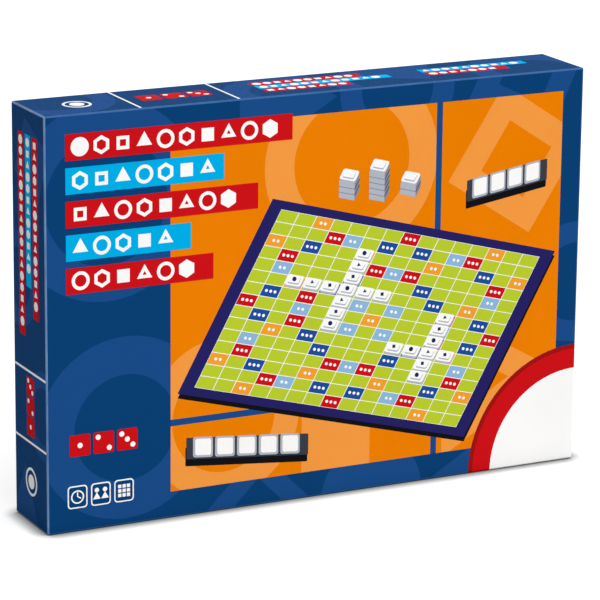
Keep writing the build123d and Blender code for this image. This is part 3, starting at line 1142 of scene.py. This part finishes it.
@dataclass
class LidPrint:
    """Generic print of the lid: ribbons, an orange field with a picture, dotted squares and signs."""

    node: str = "lid_wrap"
    body: str = "lid"
    slot: str = "printed_wrap"
    panel: FieldPrint = FieldPrint(
        ground=(
            Motif(40, 205, 62, band=22),
            Motif(52, 62, 58, band=24),
            Motif(150, 256, 44, Form.TRIANGLE, 30),
            Motif(236, 258, 40, band=15),
            Motif(330, 262, 46, Form.SQUARE, 20, 16),
            Motif(142, 0, 36, Form.SQUARE, band=13),
            Motif(222, -4, 36),
            Motif(300, 2, 34, Form.TRIANGLE, 90),
            Motif(368, 120, 40, band=14),
        ),
        box=(82.0, 17.0, 355.0, 246.0),
        shapes=(
            Motif(118, 60, 52, band=17),
            Motif(205, 214, 60, band=20),
            Motif(322, 205, 50, Form.SQUARE, 12, 17),
            Motif(300, 62, 56, Form.TRIANGLE, 30, 18),
            Motif(196, 40, 34, Form.SQUARE, 45),
        ),
    )
    divider: float = 4.2
    divider_u: float = 264.0
    divider_v: float = 59.0
    ribbon_height: float = 16.2
    ribbon_pitch: float = 20.5
    ribbon_corner: Pair = (13.6, 248.0)
    ribbon_lengths: tuple[float, ...] = (150.0, 104.0, 127.0, 82.0, 97.0)
    squares: DottedSquares = DottedSquares(15.0, 48.0, 13.6, 15.6)
    signs: SignRow = SignRow()
    # Quarter disc in the lower right corner: reach and ink of each band
    corner_bands: tuple[tuple[float, Ink], ...] = ((78.0, Ink.DEEP_RED), (75.0, Ink.RED), (62.0, Ink.WHITE))
    end: NarrowPrint = NarrowPrint(
        ground=(
            Motif(8, 152, 30, band=11),
            Motif(46, 74, 28, band=10),
            Motif(30, 228, 28, Form.SQUARE, 20),
            Motif(16, 12, 24, Form.TRIANGLE),
        ),
        rules=(52.0, 97.0),
        ribbons=((10.0, 244.0, 126.0), (21.0, 244.0, 94.0), (32.0, 244.0, 112.0)),
        ringed_dot=27.0,
        squares=56.0,
        square=12.0,
        square_pitch=12.8,
        upright=True,
    )
    top: NarrowPrint = NarrowPrint(
        ground=(
            Motif(20, 40, 40, band=14),
            Motif(170, 10, 44, band=16),
            Motif(250, 46, 40, Form.SQUARE, 20),
            Motif(340, 10, 44, band=16),
        ),
        rules=(63.0, 128.0),
        ribbons=(
            (152.0, 41.0, 76.0),
            (152.0, 31.0, 92.0),
            (152.0, 21.0, 60.0),
            (268.0, 36.0, 76.0),
            (268.0, 26.0, 58.0),
        ),
        ringed_dot=32.0,
        squares=72.0,
        square=14.0,
        square_pitch=16.4,
    )

    def build(self) -> None:
        """Print the front, both ends, the top and the underside."""
        for side in (Side.FRONT, Side.LEFT, Side.RIGHT, Side.TOP, Side.UNDERSIDE):
            face = PrintedFace(f"lid_print_{side.name.lower()}", self.node, side)
            if side is Side.FRONT:
                self.front(face)
            elif side is Side.UNDERSIDE:
                face.motif(Ink.NAVY_SHAPE, Layer.GROUND, *self.top.ground)
            else:
                (self.top if side is Side.TOP else self.end).lay(face)
            face.finish(self.body, self.slot)

    def front(self, face: PrintedFace) -> None:
        """Print the front panel.

        Args:
            face: The front face.
        """
        left, bottom, _, top = self.panel.box
        self.panel.lay(face)
        upright = (self.divider_u, bottom, self.divider_u + self.divider, top)
        level = (left, self.divider_v, self.divider_u, self.divider_v + self.divider)
        for divider in (upright, level):
            face.bar(divider, Ink.NAVY_SHAPE, Layer.DIVIDER)
        GamePicture(face).build()
        u, v = self.ribbon_corner
        places = [(u, v - row * self.ribbon_pitch, length) for row, length in enumerate(self.ribbon_lengths)]
        Ribbon.group(face, places, self.ribbon_height)
        self.squares.lay(face)
        self.signs.lay(face)
        for (reach, ink), layer in zip(self.corner_bands, (Layer.STRIP, Layer.SIGN, Layer.INSET)):
            face.motif(ink, layer, Motif(face.width, 0.0, reach, Form.WIDE_DISC))


@dataclass
class BasePrint:
    """Tone-on-tone shapes and a plain orange field on the back of the base."""

    panel: FieldPrint = FieldPrint(
        ground=(
            Motif(60, 190, 66, band=22),
            Motif(70, 36, 44, Form.SQUARE, 20, 15),
            Motif(182, 250, 46, Form.TRIANGLE, 10),
            Motif(190, 8, 40, band=15),
            Motif(330, 30, 60, band=20),
            Motif(352, 226, 48, Form.SQUARE, 15),
        ),
        box=(108.0, 62.0, 256.0, 198.0),
        shapes=(Motif(128, 176, 46, band=16), Motif(232, 92, 44, Form.SQUARE, 30, 15)),
    )
    stacks: tuple[tuple[Pair, int], ...] = (((140.0, 118.0), 4), ((172.0, 112.0), 2), ((202.0, 108.0), 6))

    def build(self) -> None:
        """Print the back panel."""
        face = PrintedFace("base_print_back", "base_wrap", Side.BACK)
        self.panel.lay(face)
        picture = GamePicture(face)
        for place, count in self.stacks:
            picture.stack(Vector(place), count)
        face.finish("base", "plain_wrap")


@dataclass
class LetterTiles:
    """Stepped plastic tiles, one piece for each letter, with the letter printed on the raised face."""

    letters: str = "abcdefghijklmnopqrstuvwxyz"
    counts: tuple[int, ...] = (8, 2, 4, 4, 10, 2, 2, 2, 7, 1, 1, 5, 3, 6, 8, 3, 1, 6, 6, 5, 5, 2, 1, 1, 2, 1)
    blanks: int = 2
    columns: int = 10
    rise: float = 1.6
    raised: float = 14.0
    corner: float = 3.0
    raised_corner: float = 2.6
    edge: float = 0.45
    edge_steps: int = 2
    letter: float = 11.5
    letter_steps: int = 3
    letter_weight: float = 0.12
    letter_relief: float = 0.03
    finishes: tuple[Board, ...] = (Board.TILE, Board.LETTER)

    def __post_init__(self) -> None:
        """Measure one tile and the step to the next on two nodes of a single tile, side by side."""
        low, high = (Vector(corner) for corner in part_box("letter_tiles_j"))
        following, _ = (Vector(corner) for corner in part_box("letter_tiles_k"))
        self.size = (high.x - low.x) / MM
        self.body = (high.y - low.y) / MM - self.rise
        self.pitch = (following.x - low.x) / MM

    def build(self) -> None:
        """Place every tile of the CAD nodes."""
        low, high = (Vector(corner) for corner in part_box("letter_tiles_a"))
        half = self.size * MM / 2
        first = Vector((low.x + half, high.y, high.z - half))
        blank = self.tile()
        plastics = [finish.material() for finish in self.finishes]
        used = 0
        for letter, count in [*zip(self.letters, self.counts), ("", self.blanks)]:
            node = f"letter_tiles_{letter}" if letter else "blank_tiles"
            glyph = self.glyph(letter.upper())
            shape = bmesh.new()
            for number in range(used, used + count):
                row, column = divmod(number, self.columns)
                place = Matrix.Translation(first + Vector((column, 0, -row)) * self.pitch * MM)
                append_shape(shape, blank, place)
                append_shape(shape, glyph, place)
            glyph.free()
            used += count
            mount(add_piece(f"{node}_eased", shape, plastics), "tiles", "tile_plastic", node)
        blank.free()

    def block(self, side: float, height: float, corner: float) -> Shape:
        """Square block with rounded corners and an eased front edge, standing on y 0 and facing -Y.

        Args:
            side: Length of a side.
            height: How far it stands out.
            corner: Rounding of its corners.

        Returns:
            The block in metres.
        """
        shape = bmesh.new()
        size = Matrix.Diagonal((side * MM, height * MM, side * MM, 1))
        bmesh.ops.create_cube(shape, size=1, matrix=Matrix.Translation((0, -height * MM / 2, 0)) @ size)
        ways = [(edge, edge.verts[0].co - edge.verts[1].co) for edge in shape.edges]
        corners = [edge for edge, way in ways if abs(way.y) > height * MM / 2]
        ease(shape, corners, corner * MM, CORNER_STEPS)
        front = min(shape.faces, key=lambda item: item.calc_center_median().y)
        ease(shape, front.edges[:], self.edge * MM, self.edge_steps)
        return shape

    def tile(self) -> Shape:
        """One blank tile, with the middle of its back at the origin.

        Returns:
            The tile in metres.
        """
        shape = self.block(self.size, self.body, self.corner)
        raised = self.block(self.raised, self.rise + self.edge, self.raised_corner)
        append_shape(shape, raised, Matrix.Translation((0, -(self.body - self.edge) * MM, 0)))
        raised.free()
        shade(shape)
        return shape

    def glyph(self, letter: str) -> Shape:
        """Letter as a thin slab on the raised face of a tile whose back is at the origin.

        Args:
            letter: The letter, or nothing for a blank tile.

        Returns:
            The slab in metres.
        """
        shape = bmesh.new()
        if not letter:
            return shape
        curve = bpy.data.curves.new("glyph", "FONT")
        curve.body = letter
        curve.size = self.letter * MM
        curve.resolution_u = self.letter_steps
        text = bpy.data.objects.new("glyph", curve)
        outline = bpy.data.meshes.new_from_object(text)
        shape.from_mesh(outline)
        bpy.data.objects.remove(text)
        bpy.data.curves.remove(curve)
        bpy.data.meshes.remove(outline)
        # An inset by a negative width makes the strokes bolder; its rim is then left out
        weight = {"thickness": -self.letter_weight * MM, "use_boundary": True, "use_even_offset": True}
        rim = bmesh.ops.inset_region(shape, faces=shape.faces[:], **weight)["faces"]
        bmesh.ops.delete(shape, geom=rim, context="FACES")
        thicken(shape, self.letter_relief * MM, self.letter_relief * MM)
        spans = [[vertex.co[axis] for vertex in shape.verts] for axis in (0, 1)]
        middle = Vector([(min(span) + max(span)) / 2 for span in spans] + [0.0])
        reach = Matrix.Translation((0, -(self.body + self.rise) * MM, 0))
        shape.transform(reach @ Matrix.Rotation(math.radians(90), 4, "X") @ Matrix.Translation(-middle))
        for face in shape.faces:
            face.material_index = self.finishes.index(Board.LETTER)
        return shape


class EdgeChoice(Enum):
    """Which sharp outer edges of a copy are eased."""

    EVERY = "every edge"
    BOX_CORNERS = "the four corners of the box"
    FRONT = "the edges of the front face"


@dataclass
class EasedCopy:
    """Copy of a CAD node whose crisp edges are eased as moulding or pressing leaves them."""

    node: str
    body: str
    slot: str
    finish: Board
    radius: float
    choice: EdgeChoice = EdgeChoice.EVERY
    segments: int = 3
    # Least turn of a sharp edge and most of a flat one, in radians
    least_turn: float = 0.3
    flat_turn: float = math.radians(1)
    # How near a point lies to a side of its box, and points that are merged to each other, in millimetres
    near: float = 0.01
    merged: float = 0.001

    def __post_init__(self) -> None:
        """Measure the node."""
        self.low, self.high = (Vector(corner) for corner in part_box(self.node))

    def is_chosen(self, edge: bmesh.types.BMEdge) -> bool:
        """Tell whether an edge is one of the sharp outer edges that the choice names.

        Args:
            edge: Edge of the merged copy.

        Returns:
            Whether it is eased.
        """
        if not (edge.is_manifold and edge.is_convex and edge.calc_face_angle() > self.least_turn):
            return False
        low, high, near = self.low, self.high, self.near * MM
        points = [vertex.co for vertex in edge.verts]
        if self.choice is EdgeChoice.FRONT:
            return all(point.y - low.y < near for point in points)
        on_side = all(min(point.x - low.x, high.x - point.x) < near for point in points)
        on_cap = all(min(point.z - low.z, high.z - point.z) < near for point in points)
        return self.choice is EdgeChoice.EVERY or (on_side and on_cap)

    def build(self) -> None:
        """Ease the copy and show it in place of its node."""
        shape = bmesh.new()
        shape.from_mesh(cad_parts[self.node].data)
        bmesh.ops.remove_doubles(shape, verts=shape.verts[:], dist=self.merged * MM)
        flat = {"angle_limit": self.flat_turn, "verts": shape.verts[:], "edges": shape.edges[:]}
        bmesh.ops.dissolve_limit(shape, **flat)
        edges = [edge for edge in shape.edges if self.is_chosen(edge)]
        ease(shape, edges, self.radius * MM, self.segments)
        shade(shape)
        for edge in shape.edges:
            edge.smooth = edge.is_manifold and edge.calc_face_angle() < CREASE
        piece = add_piece(f"{self.node}_eased", shape, [self.finish.material()])
        mount(piece, self.body, self.slot, self.node)


@dataclass
class FoldingBoard:
    """Printed faces of the folding board: a lime grid on a violet ground, cut by the fold."""

    cell: float = 22.0
    columns: int = 15
    inset: float = 0.16
    pip: float = 1.8
    line: float = 0.7
    dots: int = 9
    dot: float = 5.0
    dot_gap: float = 18.0
    dot_inks: tuple[Ink, ...] = (Ink.CYAN, Ink.AMBER, Ink.RED)

    def build(self) -> None:
        """Print both leaves, which face each other while the board is folded."""
        self.leaf("front", Side.BACK)
        self.leaf("rear", Side.FRONT)

    def leaf(self, leaf: str, side: Side) -> None:
        """Print one leaf.

        Args:
            leaf: Name of the leaf.
            side: Side of the leaf that is printed.
        """
        node = f"board_{leaf}_print"
        face = PrintedFace(f"{node}_inked", node, side, self.inset, 0.0)
        face.bar((0, 0, face.width, face.height), Ink.VIOLET, Layer.GROUND)
        wide = self.columns * self.cell
        left = (face.width - wide) / 2
        across, rise = Vector((self.cell, 0)), Vector((0, self.cell))
        rows = self.columns // 2 + 1
        origin = Vector((left, -self.cell / 2))
        GridPrint(face, origin, across, rise, rows, 0, self.pip, self.line).build()
        level = (rows - 0.5) * self.cell + self.dot_gap
        for number in range(self.dots):
            u = left + wide * (number + 0.5) / self.dots
            ink = self.dot_inks[number % len(self.dot_inks)]
            face.motif(ink, Layer.GRID, Motif(u, level, self.dot))
        face.finish(f"board_{leaf}_leaf", "board_print_paper", node)


@dataclass
class RulesLeaflet:
    """Folded sheet with grey bars in place of its lines of text."""

    node: str = "rules_leaflet"
    margin: float = 12.0
    heading: float = 26.0
    heading_rounding: float = 1.5
    leading: float = 6.2
    # Way from the heading to the foot of the first line, in lines
    first_line: float = 1.5
    bar: float = 2.0
    lines: int = 22
    short: tuple[float, ...] = (0.0, 4.0, 1.0, 9.0, 30.0)

    def build(self) -> None:
        """Print the leaflet's front page."""
        face = PrintedFace(f"{self.node}_print", self.node, Side.FRONT, 0.0, 0.0)
        top, right = face.height - self.margin, face.width - self.margin
        heading = (self.margin, top - self.heading, right, top)
        face.bar(heading, Ink.CYAN, Layer.GROUND, self.heading_rounding)
        for number in range(self.lines):
            level = top - self.heading - (number + self.first_line) * self.leading
            end = right - self.short[number % len(self.short)]
            face.bar((self.margin, level, end, level + self.bar), Ink.SHADE, Layer.GROUND)
        face.finish("leaflet", "leaflet_paper")


@dataclass
class KeptNodes:
    """CAD nodes that keep their own shape and only take a material."""

    finishes: ClassVar[dict[str, Board]] = {
        "rules_leaflet": Board.TEXT_PAPER,
        "board_hinge_tape": Board.CLOTH,
        **{f"board_{leaf}_cover": Board.COVER for leaf in ("front", "rear")},
        **{f"board_{leaf}_core": Board.GREYBOARD for leaf in ("front", "rear")},
        **{f"lid_{side}_wall": Board.GREYBOARD for side in ("top", "bottom", "left", "right")},
        **{f"base_{side}_wall": Board.GREYBOARD for side in ("top", "bottom", "left", "right")},
    }

    def dress(self) -> None:
        """Give every CAD node that is still shown its material."""
        for node, finish in self.finishes.items():
            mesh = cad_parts[node].data
            mesh.materials.clear()
            mesh.materials.append(finish.material())
            log.info("%s: %s", node, finish.value.name)


@dataclass
class Studio:
    """White table, soft light and the camera of the photograph."""

    azimuth: float = -26.62
    elevation: float = 15.11
    roll: float = 0.57
    distance: float = 2.131
    sensor: float = 36.0
    lens: float = 203.7
    target: tuple[float, float, float] = (-0.0022, 0.0, 0.1217)
    # Light of the room on the left and on the right, and what is added behind the box
    ambient: Pair = (0.34, 0.75)
    fill: float = 0.3
    key: float = 2.15
    key_angle: float = 70.0
    key_way: tuple[float, float, float] = (-0.45, 1.0, -1.1)
    table_half: float = 8.0
    table_tone: float = 0.5
    table_lift: float = 0.66
    # Reach in millimetres and steepness of the painted contact shadow that darkens the table close to the
    # box
    contact_mm: float = 11.0
    contact_depth: float = 2.0

    def build(self) -> None:
        """Set the table, the light and the camera."""
        self.table()
        self.room()
        self.key_light()
        self.camera()
        bpy.context.scene.view_settings.view_transform = "Standard"
        log.info("studio: camera at %.3f m", self.distance)

    @staticmethod
    def shows_background(tree: Tree) -> Socket:
        """Value of 1 for the rays that show the background: camera, glossy and transmission rays.

        Args:
            tree: Node tree to add to.

        Returns:
            The value's socket.
        """
        ray = add_node(tree, "ShaderNodeLightPath", {})
        shown = ray["Is Camera Ray"]
        for other in ("Is Glossy Ray", "Is Transmission Ray"):
            shown = add_node(tree, "ShaderNodeMath", {0: shown, 1: ray[other]}, operation="MAXIMUM")[0]
        return shown

    def table(self) -> None:
        """Lay a white table that keeps the box's shadow, with a painted contact shadow that darkens it close
        to the box.
        """
        shape = bmesh.new()
        bmesh.ops.create_grid(shape, x_segments=1, y_segments=1, size=self.table_half)
        made = bpy.data.materials.new("white_table")
        tree = empty_tree(made)
        # Painted contact shadow: the table's tone and its glow are darkened by how near the box is
        near = add_node(tree, "ShaderNodeAmbientOcclusion", {"Distance": self.contact_mm * MM})["AO"]
        painted_contact_shadow = add_node(tree, "ShaderNodeMath", {0: near, 1: self.contact_depth}, operation="POWER")[0]
        tone = add_node(tree, "ShaderNodeMath", {0: painted_contact_shadow, 1: self.table_tone}, operation="MULTIPLY")[0]
        lifted = {0: self.shows_background(tree), 1: self.table_lift}
        strength = add_node(tree, "ShaderNodeMath", lifted, operation="MULTIPLY")[0]
        matt = add_node(tree, "ShaderNodeBsdfDiffuse", {"Color": tone})[0]
        lift = add_node(tree, "ShaderNodeEmission", {"Color": painted_contact_shadow, "Strength": strength})[0]
        both = add_node(tree, "ShaderNodeAddShader", {0: matt, 1: lift})[0]
        add_node(tree, "ShaderNodeOutputMaterial", {"Surface": both})
        add_piece("white_table", shape, [made])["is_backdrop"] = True

    def room(self) -> None:
        """Light the room, darker on the left and lighter behind the box, before a white background."""
        world = bpy.data.worlds.new("studio")
        tree = empty_tree(world)
        way = add_node(tree, "ShaderNodeTexCoord", {})["Generated"]
        parts = add_node(tree, "ShaderNodeSeparateXYZ", {"Vector": way})
        left, right = self.ambient
        inputs = {"Value": parts["X"], "From Min": -1.0, "To Min": left, "To Max": right}
        sides = add_node(tree, "ShaderNodeMapRange", inputs)["Result"]
        behind = add_node(tree, "ShaderNodeMapRange", {"Value": parts["Y"], "To Max": self.fill})["Result"]
        level = add_node(tree, "ShaderNodeMath", {0: sides, 1: behind}, operation="ADD")[0]
        inputs = {"Factor": self.shows_background(tree), "A": level, "B": 1.0}
        strength = add_node(tree, "ShaderNodeMix", inputs)[0]
        glow = add_node(tree, "ShaderNodeBackground", {"Color": (1, 1, 1, 1), "Strength": strength})[0]
        add_node(tree, "ShaderNodeOutputWorld", {"Surface": glow})
        bpy.context.scene.world = world

    def key_light(self) -> None:
        """Add a broad key light from the front right."""
        lamp = bpy.data.lights.new("key", "SUN")
        lamp.energy = self.key
        lamp.angle = math.radians(self.key_angle)
        sun = bpy.data.objects.new("key", lamp)
        bpy.context.scene.collection.objects.link(sun)
        sun.rotation_euler = Vector(self.key_way).to_track_quat("-Z", "Y").to_euler()

    def camera(self) -> None:
        """Place the camera as the photograph was taken."""
        lens = bpy.data.cameras.new("photo_camera")
        lens.sensor_width = self.sensor
        lens.lens = self.lens
        camera = bpy.data.objects.new("photo_camera", lens)
        bpy.context.scene.collection.objects.link(camera)
        turn, rise = math.radians(self.azimuth), math.radians(self.elevation)
        away = Vector((math.sin(turn) * math.cos(rise), -math.cos(turn) * math.cos(rise), math.sin(rise)))
        look = (-away).to_track_quat("-Z", "Y").to_matrix().to_4x4()
        place = Matrix.Translation(Vector(self.target) + away * self.distance)
        camera.matrix_world = place @ look @ Matrix.Rotation(math.radians(self.roll), 4, "Z")
        bpy.context.scene.camera = camera


def main() -> None:
    """Dress the part, set the studio and work out the size before and after."""
    logging.basicConfig(level=logging.INFO, format="%(name)s: %(message)s")
    PaperWrap("lid_wrap", "lid", "printed_wrap", -1, LidPrint.corner_bands).build()
    PaperWrap("base_wrap", "base", "plain_wrap", 1).build()
    LidPrint().build()
    BasePrint().build()
    LetterTiles().build()
    for number in range(1, RACKS + 1):
        rack = f"rack_{number}"
        EasedCopy(f"tile_{rack}", rack, "rack_plastic", Board.RACK, MOULDED_EDGE).build()
    EasedCopy("insert_tray", "tray", "tray_plastic", Board.TRAY, DRAWN_EDGE, EdgeChoice.FRONT).build()
    for half in ("lid", "base"):
        EasedCopy(f"{half}_panel_board", half, "greyboard", Board.GREYBOARD, WRAPPED_EDGE).build()
        stays = f"{half}_corner_stays"
        EasedCopy(stays, half, "stay_paper", Board.STAY, WRAPPED_EDGE, EdgeChoice.BOX_CORNERS).build()
    FoldingBoard().build()
    RulesLeaflet().build()
    KeptNodes().dress()
    Studio().build()
    sizes = {"cad": CAD_BOUNDS, "visual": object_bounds()}
    {name: [list(map(float, corner)) for corner in box] for name, box in sizes.items()}


if __name__ == "__main__":
    main()
